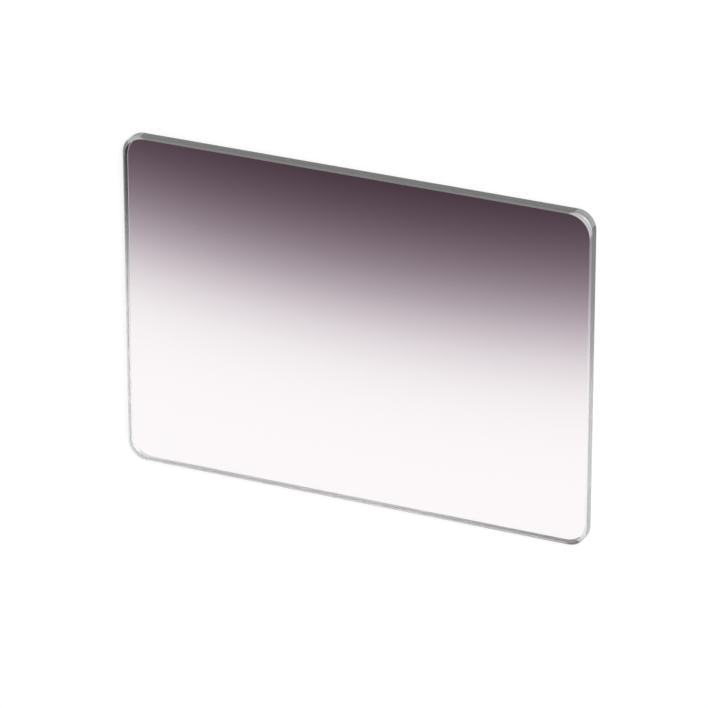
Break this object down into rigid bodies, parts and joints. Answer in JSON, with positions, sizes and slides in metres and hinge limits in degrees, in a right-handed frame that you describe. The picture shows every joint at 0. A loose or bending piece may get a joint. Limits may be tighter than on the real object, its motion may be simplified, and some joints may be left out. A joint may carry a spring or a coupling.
{
  "type": "graduated neutral density filter",
  "caption": "Rectangular graduated grey filter for a matte box tray: a flat glass plate with rounded corners, dark along one long side and fading to clear.",
  "frame": {"origin": "middle of the back face, which the plate lies on", "axes": "+X along the long side, +Y from the clear edge to the dark edge, +Z out of the front face"},
  "size_m": [0.1436, 0.1016, 0.004],
  "materials": {
    "graduated_glass": "polished faces, ground edges and bevels, density graded from dark to clear across the short side"
  },
  "bodies": {
    "root": {"filter_plate": "graduated_glass"}
  },
  "joints": []
}
